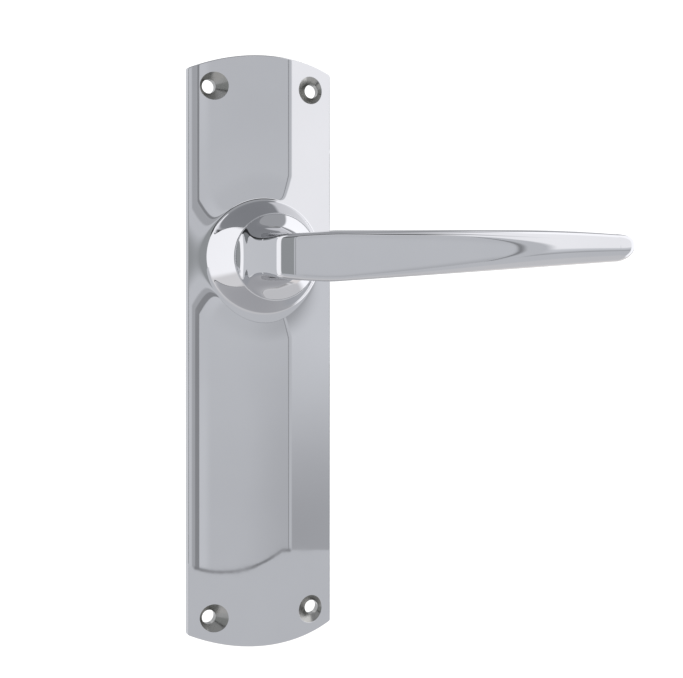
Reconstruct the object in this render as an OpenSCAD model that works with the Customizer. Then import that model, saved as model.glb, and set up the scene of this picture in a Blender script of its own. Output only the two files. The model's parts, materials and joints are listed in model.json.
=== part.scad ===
// Door lever handle on a long arched backplate, with a sprung lever and a square spindle.
// +X is the way the lever points, +Z is up, and the front of the handle faces -Y.
// The origin is on the spindle axis, in the plane of the door face that the plate lies on.
// Every module is drawn looking at the front of the handle: x right, y up, z out of the door.
// The module on_door() then stands that drawing up, so that z becomes -Y and y becomes +Z.

/* [Backplate] */
// Width of the backplate
plate_w = 50; // [48:0.5:56]
// Height of the backplate over its arched ends
plate_h = 195; // [185:1:215]
// Distance from the top of the backplate down to the spindle axis
axis_drop = 66.6; // [60:0.2:75]
// Rise of the arched ends above the corners
arch_rise = 4.8; // [3:0.2:7]
// Thickness of the backplate on its centre line
crown_t = 7.4; // [6.5:0.1:9]
// Thickness of the backplate along its two long edges
edge_t = 2.6; // [2:0.1:3.2]
// Wall of the hollow casting
wall_t = 2.2; // [1.8:0.1:2.6]

/* [Fixing holes] */
// Distance across the plate between the fixing holes
hole_pitch_x = 36; // [34:0.5:38]
// Distance up the plate between the fixing holes
hole_pitch_y = 174.2; // [165:0.2:180]
// Distance from the top of the plate down to the upper fixing holes
hole_drop = 10.6; // [9:0.2:14]
// Diameter of the fixing holes
hole_d = 4.7; // [4.2:0.1:5.2]
// Diameter of the countersinks where they meet the crowned face
sink_d = 8.9; // [8:0.1:9.6]

/* [Boss] */
// Height of the boss rim above the door face
boss_h = 18.5; // [17.5:0.1:20]
// Radius of the boss at its rim
rim_r = 14.2; // [13.8:0.1:15]
// Radius of the boss where it meets the crest of the plate
foot_r = 19; // [18:0.1:20]
// Radius of the spring chamber inside the boss
chamber_r = 13.6; // [13.4:0.1:13.8]
// Thickness of the boss web that carries the front bush
web_t = 4.2; // [3.8:0.1:4.6]

/* [Lever] */
// Reach of the lever from the spindle axis to its tip
lever_reach = 119.5; // [100:0.5:130]
// Distance from the door face to the front of the lever arm
arm_front = 50.5; // [46:0.5:58]
// Thickness of the arm, front to back, next to the neck
root_t = 12; // [10:0.5:13]
// Thickness of the arm near its tip
tip_t = 7.6; // [6:0.2:9]
// Height of the top line of the arm above the spindle axis, next to the neck
arm_top = 8.1; // [7:0.1:9]
// Height of the arm next to the neck
root_h = 15.8; // [14:0.1:17]
// Height of the arm near its tip
tip_h = 9.4; // [8:0.1:11]
// Half height of the neck at its narrowest, which is also how far its inner side stands from the axis
neck_r = 6.5; // [6.2:0.1:7]
// Distance from the spindle axis to the outer side of the neck, where the elbow begins
neck_out = 10.6; // [9:0.1:12]
// Angle that the outer side of the neck leans in towards the elbow
neck_lean = 6.5; // [4:0.5:9]
// Radius of the round corner outside the elbow
elbow_r = 7; // [4:0.5:8]

/* [Spindle and bearing] */
// Side of the square spindle
spindle_side = 7.6; // [7.6:0.1:8]
// Length of spindle that stands out behind the plate
spindle_out = 62; // [40:1:90]
// Radius of the lever's journal
journal_r = 7.5; // [7.4:0.05:7.6]
// Radial clearance of the journal in its bushes
running = 0.05; // [0.03:0.01:0.08]

/* [Motion] */
// Angle that the lever turns down from level
lever_travel = 55; // [45:1:60]

/* [Hidden] */

// Backplate outline and crown
low_end = axis_drop - plate_h;
arch_r = (pow(plate_w / 2, 2) + pow(arch_rise, 2)) / (2 * arch_rise);
crown_sag = crown_t - edge_t;
crown_r = (pow(plate_w / 2, 2) + pow(crown_sag, 2)) / (2 * crown_sag);
rib_w = 3;
hollow_clear = 8;

// Fixing holes
hole_x = hole_pitch_x / 2;
hole_top = axis_drop - hole_drop;
hole_low = hole_top - hole_pitch_y;
hole_z = crown_at(hole_x);
post_r = 5.6;

// Boss: a cone that widens from its rim down into the plate
skirt_z = 1.2;
rim_round = 0.5;
chamber_top = boss_h - web_t;
collar_r = 22.5;

// Front bush: a sleeve through the web and a flange let into the boss rim
bush_wall = 1.4;
bush_r = journal_r + bush_wall;
flange_r = 12;
flange_t = 0.9;
hub_gap = 0.15;

// Lever hub and socket
hub_z = boss_h + hub_gap;
hub_r = rim_r - 0.1;
hub_lip = 0.3;
hub_ledge = 0.05;
flare_end_z = 36;
flare_power = 3;
lip_power = 14;
flare_start_z = hub_z + hub_lip / 2;
socket_clear = 0.05;
socket_top = 25.5;
tail_z = 0.4;
flat_x = 6.9;
cam_z = 4.9;
cam_t = 1.8;
shoulder_z = cam_z + cam_t;

// Lever elbow and arm
inner_r = 4;
pivot_x = neck_r + inner_r;
pivot_z = arm_front - root_t - inner_r;
tip_len = 8;
tip_x = lever_reach - tip_len;
arm_sweep = 3.4;
top_rise = 0.95;
tip_droop = 1.2;
droop_from = 0.62;
apex_lift = 0.8;

// Lever sections: how square they are in front and behind, and how far their top and underside fall away
neck_square = 6;
root_square = 14;
square_power = 2.8;
tip_square = 2.3;
root_back_square = 2.5;
tip_back_square = 2.1;
top_fall = 0.15;
low_fall = 0.08;
ring_n = 36;
corner_crowd = 7;
flare_rings = 10;
elbow_rings = 12;
arm_rings = 10;
tip_rings = 7;
tip_end = 87;

// Circlip, backing washer and wave washer behind the cam plate
clip_t = 0.9;
clip_z = 2.6;
clip_play = 0.05;
groove_r = 6.9;
groove_t = clip_t + 2 * clip_play;
backing_t = 0.5;
backing_z = clip_z + clip_t + 0.03;
wave_t = 0.3;
wave_z = backing_z + backing_t + 0.02;
wave_lift = cam_z - wave_z - wave_t - 0.02;
washer_r = 10.6;

// Return spring
wire_r = 0.75;
coil_r = 10.3;
coil_turns = 3.5;
coil_low = shoulder_z + 1;
coil_high = chamber_top - 1.8;
tail_angle = 250;
coil_rings = 62;
wire_sides = 8;
leg_low_z = cam_z + 0.4;
leg_high_z = chamber_top + 2;
leg_hole_r = wire_r + 0.12;
leg_bend = 0.1;

// Stop pins and the cam lug that runs between them
pin_r = 1.2;
pin_orbit = 12.35;
pin_foot_z = 3.6;
pin_top_z = chamber_top + 2.4;
cam_r = 10.9;
lug_half = 11;
lug_r = 13.2;
lug_angle = 90;
pin_half = asin(pin_r / pin_orbit) + 0.5;
rest_pin_angle = lug_angle + lug_half + pin_half;
travel_pin_angle = lug_angle - lug_half - lever_travel - pin_half;

// Rear cover, its bush and its four screws
cover_r = 20.4;
cover_t = 1.2;
cover_z = 0.1;
recess_z = cover_z + cover_t;
screw_orbit = 17.1;
screw_head_r = 2.7;
screw_shank_r = 1.5;
screw_end_z = 6.6;
rear_bush_r = 9.1;
rear_flange_r = 10.4;
rear_flange_t = 0.8;

// Spindle
spindle_top = socket_top - 0.3;
spindle_chamfer = 0.6;

CHROME = [0.78, 0.78, 0.8];
ZINC = [0.66, 0.68, 0.7];
STEEL = [0.42, 0.43, 0.45];
NYLON = [0.9, 0.89, 0.85];

$fn = 96;

// Height of the crowned face at a distance x from the centre line
function crown_at(x) = crown_t - crown_r + sqrt(crown_r * crown_r - x * x);

// Radius of the boss at a height z
function boss_r_at(z) = mix(rim_r, foot_r, (boss_h - z) / (boss_h - crown_t));

function mix(a, b, share) = a + (b - a) * share;
function soften(share) = share * share * (3 - 2 * share);

// Distance from the spindle axis to the leaning outer side of the neck at a height z
function neck_wall(z) = neck_out + (pivot_z - z) * tan(neck_lean);

// Distance from the elbow's pivot to its outer side, in the direction a degrees round the bend:
// the leaning wall, a round centred on [cx, cz], and the front face
function corner_reach(a) =
    let (wall = (neck_out + pivot_x) * cos(neck_lean), face = arm_front - pivot_z,
         cz = face - elbow_r, cx = (wall - elbow_r - cz * sin(neck_lean)) / cos(neck_lean),
         along = cos(a) * cx + sin(a) * cz)
    a <= atan2(cz + elbow_r * sin(neck_lean), cx + elbow_r * cos(neck_lean)) ? wall / cos(a - neck_lean)
        : a >= atan2(face, cx) ? face / sin(a)
        : along + sqrt(along * along - cx * cx - cz * cz + elbow_r * elbow_r);

// How far a section reaches in the direction a, in units of its half width and half height
function front_reach(a, square, fall) =
    pow(pow(abs(cos(a)), square) + pow(abs(sin(a)) * (1 + fall * pow(cos(a), 2)), square), -1 / square);
function section_reach(a, square, back, falls) =
    cos(a) < 0 ? front_reach(a, back, 0) : front_reach(a, square, sin(a) > 0 ? falls[0] : falls[1]);

// One ring of the lever: its outer and inner point as [x, z], its low, middle and top heights,
// its squareness in front and behind, and the fall of its top and underside
function ring(outer, inner, heights, square, back, falls) = [
    for (i = [0:ring_n - 1])
        let (even = 360 * i / ring_n, a = even + corner_crowd * sin(4 * even),
             reach = section_reach(a, square, back, falls),
             across = (1 + reach * cos(a)) / 2,
             up = reach * sin(a),
             half = up > 0 ? heights[2] - heights[1] : heights[1] - heights[0])
        [mix(inner[0], outer[0], across), heights[1] + up * half, mix(inner[1], outer[1], across)]
];

// Rings up the flared hub, round the elbow, along the arm and round the tip
function flare_ring(z) =
    let (share = pow(max(0, (flare_end_z - z) / (flare_end_z - flare_start_z)), flare_power),
         left = max(0, (pivot_z - z) / (pivot_z - flare_start_z)),
         low_r = hub_r - hub_ledge, half = mix(neck_r, low_r, share),
         out = neck_wall(z) + (low_r - neck_wall(flare_start_z)) * pow(left, lip_power))
    ring([-out, z], [half, z], [-half, 0, half],
         mix(neck_square, 2, share), 2, [0, 0]);
function elbow_ring(a) =
    let (reach = corner_reach(a), way = [-cos(a), sin(a)], pivot = [pivot_x, pivot_z],
         rise = soften(a / 90), ahead = -cos(a) * root_t / (tip_x - pivot_x),
         low = mix(-neck_r, arm_low(ahead), rise), top = mix(neck_r, arm_line(ahead), rise))
    ring(pivot + reach * way, pivot + inner_r * way, [low, (low + top) / 2, top],
         mix(neck_square, root_square, soften(min(1, a / 75))), mix(2, root_back_square, rise),
         [top_fall * rise, low_fall * rise]);
function arm_line(share) =
    arm_top + top_rise * share - tip_droop * pow(max(0, share - droop_from) / (1 - droop_from), 2);
function arm_low(share) = mix(arm_top - root_h, arm_line(1) - tip_h, share);
function top_fade(share) = 1 - soften(min(1, max(0, share - 0.1) / 0.35));
function arm_ring(share, end) =
    let (x = mix(pivot_x, tip_x, share) + tip_len * sin(end),
         half_t = mix(root_t, tip_t, share) / 2,
         z = arm_front - arm_sweep * share * share - half_t,
         top = arm_line(share), low = arm_low(share), half = (top - low) / 2,
         apex = (top + low) / 2 + apex_lift * pow(sin(end), 2))
    ring([x, z + cos(end) * half_t], [x, z - cos(end) * half_t],
         [apex - half * cos(end), apex, apex + half * pow(cos(end), 0.75)],
         mix(tip_square, root_square, pow(1 - share, square_power)),
         mix(root_back_square, tip_back_square, share),
         [top_fall * top_fade(share), low_fall * (1 - share)]);

// A closed skin over a list of rings that all have the same number of points
module skin(rings) {
    n = len(rings[0]);
    last = len(rings) - 1;
    sides = [for (k = [0:last - 1], i = [0:n - 1])
        let (j = (i + 1) % n)
        each [[k * n + i, k * n + j, (k + 1) * n + j], [k * n + i, (k + 1) * n + j, (k + 1) * n + i]]];
    caps = [for (i = [1:n - 2]) each [[0, i + 1, i], [last * n, last * n + i, last * n + i + 1]]];
    polyhedron([for (r = rings) each r], concat(sides, caps), convexity = 4);
}

module on_door() {
    rotate([90, 0, 0]) children();
}

module ring_solid(outer, inner, low, high) {
    translate([0, 0, low]) difference() {
        cylinder(r = outer, h = high - low);
        translate([0, 0, -1]) cylinder(r = inner, h = high - low + 2);
    }
}

module at_angle(a, r) {
    rotate([0, 0, a]) translate([r, 0, 0]) children();
}

module outline(inset) {
    half = plate_w / 2 - inset;
    r = arch_r - inset;
    intersection() {
        translate([-half, low_end]) square([2 * half, plate_h]);
        union() {
            translate([0, axis_drop - arch_r]) circle(r = r);
            translate([-half, low_end + arch_rise + inset])
                square([2 * half, plate_h - 2 * arch_rise - 2 * inset]);
            translate([0, low_end + arch_r]) circle(r = r);
        }
    }
}

module crowned(inset) {
    intersection() {
        linear_extrude(crown_t + 1) outline(inset);
        translate([0, axis_drop + 1, crown_t - crown_r]) rotate([90, 0, 0])
            cylinder(r = crown_r - inset * wall_t / rib_w, h = plate_h + 2, $fn = 240);
    }
}

module boss_cone() {
    shoulder = boss_h - rim_round;
    intersection() {
        linear_extrude(boss_h) outline(0);
        rotate_extrude() polygon([
            [0, skirt_z], [boss_r_at(skirt_z), skirt_z], [boss_r_at(shoulder), shoulder],
            [rim_r - rim_round, boss_h], [0, boss_h]]);
    }
}

module fixing_spots() {
    for (x = [-hole_x, hole_x], y = [hole_low, hole_top])
        translate([x, y, 0]) children();
}

module countersunk_hole() {
    sink_bottom = hole_z - (sink_d - hole_d) / 2;
    translate([0, 0, -1]) cylinder(d = hole_d, h = crown_t + 2);
    translate([0, 0, sink_bottom]) cylinder(d1 = hole_d, d2 = sink_d + 6, h = (sink_d + 6 - hole_d) / 2);
}

module casting_hollow() {
    difference() {
        translate([0, 0, -hollow_clear]) union() {
            linear_extrude(hollow_clear + edge_t - wall_t + 0.2) outline(rib_w);
            translate([0, 0, hollow_clear]) crowned(rib_w);
        }
        translate([0, 0, -hollow_clear - 1]) cylinder(r = collar_r, h = hollow_clear + crown_t + 2);
        fixing_spots() translate([0, 0, -hollow_clear - 1])
            cylinder(r = post_r, h = hollow_clear + crown_t + 2);
    }
}

module backplate() {
    color(CHROME) difference() {
        union() {
            crowned(0);
            boss_cone();
        }
        casting_hollow();
        fixing_spots() countersunk_hole();
        translate([0, 0, -1]) cylinder(r = chamber_r, h = chamber_top + 1);
        translate([0, 0, -1]) cylinder(r = bush_r, h = boss_h + 2);
        translate([0, 0, boss_h - flange_t]) cylinder(r = flange_r, h = flange_t + 1);
        translate([0, 0, -1]) cylinder(r = cover_r + 0.1, h = recess_z + 1);
        for (a = [rest_pin_angle, travel_pin_angle])
            at_angle(a, pin_orbit) cylinder(r = pin_r, h = pin_top_z);
        at_angle(tail_angle + 360 * coil_turns, coil_r) cylinder(r = leg_hole_r, h = leg_high_z + 0.3);
        for (i = [0:3])
            at_angle(45 + 90 * i, screw_orbit) cylinder(r = screw_shank_r, h = screw_end_z + 0.3);
    }
}

module lever_hub() {
    translate([0, 0, hub_z]) cylinder(r = hub_r, h = hub_lip);
}

module lever_body() {
    skin(concat(
        [for (i = [0:flare_rings - 1]) flare_ring(mix(flare_start_z, pivot_z, pow(i / flare_rings, 1.4)))],
        [for (i = [0:elbow_rings]) elbow_ring(90 * i / elbow_rings)],
        [for (i = [1:arm_rings]) arm_ring(i / arm_rings, 0)],
        [for (i = [1:tip_rings]) arm_ring(1, tip_end * i / tip_rings)]));
}

module journal() {
    difference() {
        translate([0, 0, tail_z]) cylinder(r = journal_r, h = hub_z + 0.5 - tail_z);
        for (side = [-1, 1])
            translate([side * (flat_x + 5), 0, shoulder_z / 2]) cube([10, 20, shoulder_z], center = true);
        difference() {
            translate([0, 0, clip_z - clip_play]) cylinder(r = journal_r + 1, h = groove_t);
            translate([0, 0, clip_z - 1]) cylinder(r = groove_r, h = groove_t + 2);
        }
    }
}

module lever() {
    side = spindle_side + 2 * socket_clear;
    color(CHROME) difference() {
        union() {
            journal();
            lever_hub();
            lever_body();
        }
        translate([-side / 2, -side / 2, -1]) cube([side, side, socket_top + 1]);
    }
}

// A square bar with chamfered ends: the same side view crossed with itself
module spindle_side_view() {
    half = spindle_side / 2;
    end = half - spindle_chamfer;
    low = -spindle_out;
    high = spindle_top;
    polygon([[-end, low], [end, low], [half, low + spindle_chamfer], [half, high - spindle_chamfer],
             [end, high], [-end, high], [-half, high - spindle_chamfer], [-half, low + spindle_chamfer]]);
}

module spindle_slab(turn) {
    rotate([90, 0, turn]) translate([0, 0, -spindle_side / 2])
        linear_extrude(spindle_side) spindle_side_view();
}

module spindle() {
    color(ZINC) intersection() {
        spindle_slab(0);
        spindle_slab(90);
    }
}

module front_bush() {
    color(NYLON) difference() {
        union() {
            translate([0, 0, chamber_top]) cylinder(r = bush_r, h = web_t);
            translate([0, 0, boss_h - flange_t]) cylinder(r = flange_r, h = flange_t);
        }
        translate([0, 0, chamber_top - 1]) cylinder(r = journal_r + running, h = web_t + 2);
    }
}

module thrust_washer() {
    color(ZINC) difference() {
        ring_solid(washer_r + 0.3, journal_r + 0.15, chamber_top - 0.8, chamber_top);
        at_angle(tail_angle + 360 * coil_turns, coil_r) cylinder(r = 2 * wire_r + 0.2, h = boss_h);
    }
}

// The spring's wire runs up one leg, round the coil and up the other leg
function coil_point(s) = let (a = tail_angle + 360 * coil_turns * s)
    [coil_r * cos(a), coil_r * sin(a), mix(coil_low, coil_high, s)];
function leg_point(s, z) = let (a = tail_angle + 360 * coil_turns * s)
    [coil_r * cos(a), coil_r * sin(a), z];
function wire_path() = concat(
    [leg_point(0, leg_low_z), leg_point(0, coil_low - leg_bend)],
    [for (i = [1:coil_rings - 1]) coil_point(i / coil_rings)],
    [leg_point(1, coil_high + leg_bend), leg_point(1, leg_high_z)]);
function unit(v) = v / norm(v);
function wire_ring(p, along, radial) =
    let (side = unit(cross(radial, along)), out = unit(cross(along, side)))
    [for (i = [0:wire_sides - 1])
        let (a = 360 * i / wire_sides)
        p + wire_r * (cos(a) * out + sin(a) * side)];

module return_spring() {
    path = wire_path();
    last = len(path) - 1;
    color(STEEL) skin([for (i = [0:last])
        wire_ring(path[i], unit(path[min(last, i + 1)] - path[max(0, i - 1)]),
                  [path[i][0], path[i][1], 0])]);
}

function lug_side(a) = 2 * lug_r * [cos(a), sin(a)];

// A disc keyed to the journal's two flats, with a stop lug and an open notch for the spring's leg
module cam_outline() {
    difference() {
        union() {
            circle(r = cam_r);
            intersection() {
                circle(r = lug_r);
                polygon([[0, 0], lug_side(lug_angle - lug_half), lug_side(lug_angle + lug_half)]);
            }
        }
        intersection() {
            circle(r = journal_r + socket_clear);
            square([2 * (flat_x + socket_clear), 4 * journal_r], center = true);
        }
        at_angle(tail_angle, coil_r) circle(r = leg_hole_r);
        at_angle(tail_angle, coil_r + 1) square([2, 1.5 * leg_hole_r], center = true);
    }
}

module cam_plate() {
    color(ZINC) translate([0, 0, cam_z]) linear_extrude(cam_t) cam_outline();
}

// The wave washer is a thin ring that rises and falls three times round the journal
function wave_rise(a) = wave_lift * (1 + cos(3 * a)) / 2;
function wave_ring(a) =
    let (z = wave_z + wave_rise(a), c = cos(a), s = sin(a), r1 = journal_r + 0.3, r2 = washer_r - 0.6)
    [[r1 * c, r1 * s, z], [r2 * c, r2 * s, z], [r2 * c, r2 * s, z + wave_t], [r1 * c, r1 * s, z + wave_t]];

module wave_washer() {
    steps = 60;
    points = [for (i = [0:steps - 1]) each wave_ring(360 * i / steps)];
    faces = [for (k = [0:steps - 1], i = [0:3])
        let (j = (i + 1) % 4, m = (k + 1) % steps)
        each [[k * 4 + i, k * 4 + j, m * 4 + j], [k * 4 + i, m * 4 + j, m * 4 + i]]];
    color(STEEL) polyhedron(points, faces, convexity = 6);
}

module backing_washer() {
    color(ZINC) ring_solid(washer_r, journal_r + 0.15, backing_z, backing_z + backing_t);
}

// An external circlip with two drilled ears and a gap between them
module circlip() {
    ring_r = 8.9;
    ear_r = 1.4;
    eye_r = 0.6;
    gap = 5;
    ear_angle = 24;
    color(STEEL) translate([0, 0, clip_z]) linear_extrude(clip_t) difference() {
        union() {
            circle(r = ring_r);
            for (side = [-1, 1])
                at_angle(270 + side * ear_angle, ring_r) circle(r = ear_r);
        }
        translate([-gap / 2, -2 * ring_r]) square([gap, 2 * ring_r]);
        for (side = [-1, 1])
            at_angle(270 + side * ear_angle, ring_r + 0.1) circle(r = eye_r);
        circle(r = groove_r + clip_play);
    }
}

module stop_pin(a) {
    color(STEEL) at_angle(a, pin_orbit) {
        translate([0, 0, pin_foot_z]) cylinder(r1 = pin_r - 0.3, r2 = pin_r, h = 0.3);
        translate([0, 0, pin_foot_z + 0.3]) cylinder(r = pin_r, h = pin_top_z - pin_foot_z - 0.3);
    }
}

module rear_cover() {
    color(ZINC) difference() {
        translate([0, 0, cover_z]) cylinder(r = cover_r, h = cover_t);
        translate([0, 0, -1]) cylinder(r = rear_bush_r, h = recess_z + 2);
        for (i = [0:3]) at_angle(45 + 90 * i, screw_orbit) {
            translate([0, 0, -1]) cylinder(r = screw_shank_r + 0.15, h = 4);
            translate([0, 0, cover_z])
                cylinder(r1 = screw_head_r + 0.1, r2 = screw_shank_r + 0.1, h = cover_t);
        }
    }
}

module rear_bush() {
    color(NYLON) difference() {
        union() {
            translate([0, 0, cover_z]) cylinder(r = rear_bush_r, h = cover_t);
            translate([0, 0, recess_z]) cylinder(r = rear_flange_r, h = rear_flange_t);
        }
        translate([0, 0, -1]) cylinder(r = journal_r + running, h = recess_z + rear_flange_t + 2);
    }
}

module cover_screw(i) {
    drive = 3;
    color(ZINC) at_angle(45 + 90 * i, screw_orbit) difference() {
        union() {
            translate([0, 0, cover_z]) cylinder(r1 = screw_head_r, r2 = screw_shank_r, h = cover_t);
            translate([0, 0, recess_z - 0.1]) cylinder(r = screw_shank_r, h = screw_end_z - recess_z);
        }
        for (turn = [0, 90]) rotate([0, 0, turn]) translate([0, 0, cover_z])
            cube([drive, 0.6, 1.4], center = true);
    }
}

on_door() backplate();
on_door() lever();
on_door() spindle();
on_door() front_bush();
on_door() thrust_washer();
on_door() return_spring();
on_door() cam_plate();
on_door() wave_washer();
on_door() backing_washer();
on_door() circlip();
on_door() stop_pin(rest_pin_angle);  // rest_stop_pin
on_door() stop_pin(travel_pin_angle);  // travel_stop_pin
on_door() rear_cover();
on_door() rear_bush();
on_door() cover_screw(0);  // cover_screw_1
on_door() cover_screw(1);  // cover_screw_2
on_door() cover_screw(2);  // cover_screw_3
on_door() cover_screw(3);  // cover_screw_4
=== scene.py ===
import json
import math

import bpy
import numpy as np
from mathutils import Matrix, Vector, geometry


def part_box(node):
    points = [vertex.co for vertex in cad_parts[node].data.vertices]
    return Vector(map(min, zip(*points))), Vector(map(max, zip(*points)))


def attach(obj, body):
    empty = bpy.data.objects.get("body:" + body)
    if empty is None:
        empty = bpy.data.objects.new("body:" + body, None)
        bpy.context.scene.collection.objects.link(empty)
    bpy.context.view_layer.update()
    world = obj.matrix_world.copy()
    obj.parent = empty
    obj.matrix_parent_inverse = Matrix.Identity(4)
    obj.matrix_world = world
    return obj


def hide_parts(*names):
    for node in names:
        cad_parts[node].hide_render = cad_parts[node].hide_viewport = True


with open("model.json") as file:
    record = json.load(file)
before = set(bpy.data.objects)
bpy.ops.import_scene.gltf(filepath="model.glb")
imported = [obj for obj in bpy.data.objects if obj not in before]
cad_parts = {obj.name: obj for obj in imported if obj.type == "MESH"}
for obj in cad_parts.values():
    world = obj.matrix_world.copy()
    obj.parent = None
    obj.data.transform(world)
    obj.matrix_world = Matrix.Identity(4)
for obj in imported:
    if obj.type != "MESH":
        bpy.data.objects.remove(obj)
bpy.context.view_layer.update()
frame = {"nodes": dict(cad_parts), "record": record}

# Shapes are worked out looking at the front of the handle: x right, y up, z out of the door,
# with the spindle axis as the origin. to_row() turns them into the row frame.
MM = 0.001
RECORD = frame["record"]


def to_row(points):
    """Front-view coordinates (x right, y up, z out) to the row frame, where the front faces -Y."""
    points = np.asarray(points, float)
    return np.stack([points[..., 0], -points[..., 2], points[..., 1]], axis=-1)


def mount(name):
    return next(m for m in RECORD["mounts"] if m["name"] == name)


def unit(vectors):
    vectors = np.asarray(vectors, float)
    return vectors / np.maximum(np.linalg.norm(vectors, axis=-1, keepdims=True), 1e-12)


def blend(a, b, share):
    return a + (b - a) * share


# ---------------------------------------------------------------- camera

# Fitted to the photograph: the place in metres, the turn about Z in radians and the lens in mm
CAMERA_AT = (-0.15034, -0.44182, -0.00256)
CAMERA_TURN = 0.388
CAMERA_LENS = 73.28
CAMERA_SHIFT = -0.1088
SENSOR_W = 36


def make_camera():
    camera = bpy.data.objects.new("camera", bpy.data.cameras.new("camera"))
    bpy.context.scene.collection.objects.link(camera)
    camera.location = CAMERA_AT
    camera.rotation_euler = (math.radians(90), 0, -CAMERA_TURN)
    camera.data.lens = CAMERA_LENS
    camera.data.sensor_width = SENSOR_W
    camera.data.shift_y = CAMERA_SHIFT
    camera.data.clip_start = 0.01
    bpy.context.scene.camera = camera


# ---------------------------------------------------------------- mesh building


class Skin:
    """Patches of faces, each with its own normals, welded where their borders meet."""

    def __init__(self):
        self.points, self.normals, self.faces, self.slots = [], [], [], []

    def patch(self, points, normals, faces, slot=0):
        start = len(self.points)
        self.points.extend(np.asarray(points, float).reshape(-1, 3))
        self.normals.extend(unit(normals).reshape(-1, 3))
        self.faces.extend([tuple(int(i) + start for i in face) for face in faces])
        self.slots.extend([slot] * len(faces))

    def grid(self, points, normals, slot=0):
        """Closed rows of points, [row, column], facing the side that the normals point to."""
        rows, cols = points.shape[:2]
        faces = []
        for r in range(rows - 1):
            for c in range(cols):
                d = (c + 1) % cols
                faces.append((r * cols + c, r * cols + d, (r + 1) * cols + d, (r + 1) * cols + c))
        middle = len(faces) // 2
        a, b, c, d = (points.reshape(-1, 3)[i] for i in faces[middle])
        if np.dot(np.cross(c - a, d - b), normals.reshape(-1, 3)[faces[middle][0]]) < 0:
            faces = [face[::-1] for face in faces]
        self.patch(points, normals, faces, slot)

    def build(self, name, materials):
        points = to_row(self.points)
        normals = to_row(self.normals)
        _, first, where = np.unique(
            np.round(points, 7), axis=0, return_index=True, return_inverse=True
        )
        where = where.reshape(-1)
        faces, slots, loops = [], [], []
        for face, slot in zip(self.faces, self.slots):
            kept = [i for k, i in enumerate(face) if where[i] != where[face[k - 1]]]
            if len({where[i] for i in kept}) > 2:
                faces.append([int(where[i]) for i in kept])
                slots.append(slot)
                loops.extend(normals[i] for i in kept)
        mesh = bpy.data.meshes.new(name)
        mesh.from_pydata(points[first].tolist(), [], faces)
        for material in materials:
            mesh.materials.append(material)
        mesh.polygons.foreach_set("material_index", slots)
        mesh.polygons.foreach_set("use_smooth", [True] * len(faces))
        mesh.update()
        mesh.normals_split_custom_set([tuple(n) for n in loops])
        piece = bpy.data.objects.new(name, mesh)
        bpy.context.scene.collection.objects.link(piece)
        return piece


def rolled_edge(corner, first, second, radius, steps):
    """The arc of a small ball that rolls along a convex edge, from one face's normal to the other's.
    Returns the points and normals as [step, point along the edge]."""
    first, second = unit(first), unit(second)
    dot = np.sum(first * second, axis=-1, keepdims=True)
    centre = corner - radius * (first + second) / (1 + dot)
    shares = np.linspace(0, 1, steps + 1)[:, None, None]
    angle = np.arccos(np.clip(dot, -1, 1))
    spread = np.maximum(np.sin(angle), 1e-9)
    normals = (np.sin((1 - shares) * angle) * first + np.sin(shares * angle) * second) / spread
    return centre + radius * normals, normals


def lathe(skin, profile, angles, slot=0):
    """Turns one smooth stretch of a profile, [(radius, z), ...], whose solid lies on its right side."""
    profile = np.asarray(profile, float)
    steps = np.diff(profile, axis=0)
    sides = unit(np.stack([-steps[:, 1], steps[:, 0]], axis=-1))
    ends = np.vstack([sides[:1], sides])
    tilt = unit(ends + np.vstack([sides, sides[-1:]]))
    circle = np.stack([np.cos(angles), np.sin(angles)], axis=-1)
    points = np.concatenate(
        [profile[:, None, :1] * circle, np.repeat(profile[:, None, 1:], len(angles), 1)], axis=-1
    )
    normals = np.concatenate(
        [tilt[:, None, :1] * circle, np.repeat(tilt[:, None, 1:], len(angles), 1)], axis=-1
    )
    skin.grid(points, normals, slot=slot)


def ring_loop(centre, radius, count):
    turn = np.linspace(0, 2 * math.pi, count, endpoint=False)
    way = np.stack([np.cos(turn), np.sin(turn)], axis=-1)
    return np.asarray(centre) + radius * way, way


def triangulate(loops, extra):
    """Triangles over flat points: the loops' edges are kept, and extra points fill the area."""
    points = [Vector(p) for loop in loops for p in loop] + [Vector(p) for p in extra]
    edges, start = [], 0
    for loop in loops:
        count = len(loop)
        edges += [(start + i, start + (i + 1) % count) for i in range(count)]
        start += count
    made = geometry.delaunay_2d_cdt(points, edges, [], 0, 1e-9)
    flat = np.array([tuple(p) for p in made[0]])
    return flat, np.array(made[2], int)


# ---------------------------------------------------------------- backplate shape

PLATE_LOW, PLATE_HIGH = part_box("backplate")
HALF_W = PLATE_HIGH.x
PLATE_TOP = PLATE_HIGH.z
PLATE_BOTTOM = PLATE_LOW.z
BOSS_H = -PLATE_LOW.y
CROWN_T = 7.4 * MM
EDGE_T = 2.6 * MM
ARCH_RISE = 4.8 * MM
CORNER_R = 0.8 * MM
WALL_T = 2.2 * MM
RIB_W = 3.0 * MM
CROWN_R = (HALF_W**2 + (CROWN_T - EDGE_T) ** 2) / (2 * (CROWN_T - EDGE_T))
ARCH_R = (HALF_W**2 + ARCH_RISE**2) / (2 * ARCH_RISE)
RIM_R = 14.2 * MM
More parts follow.
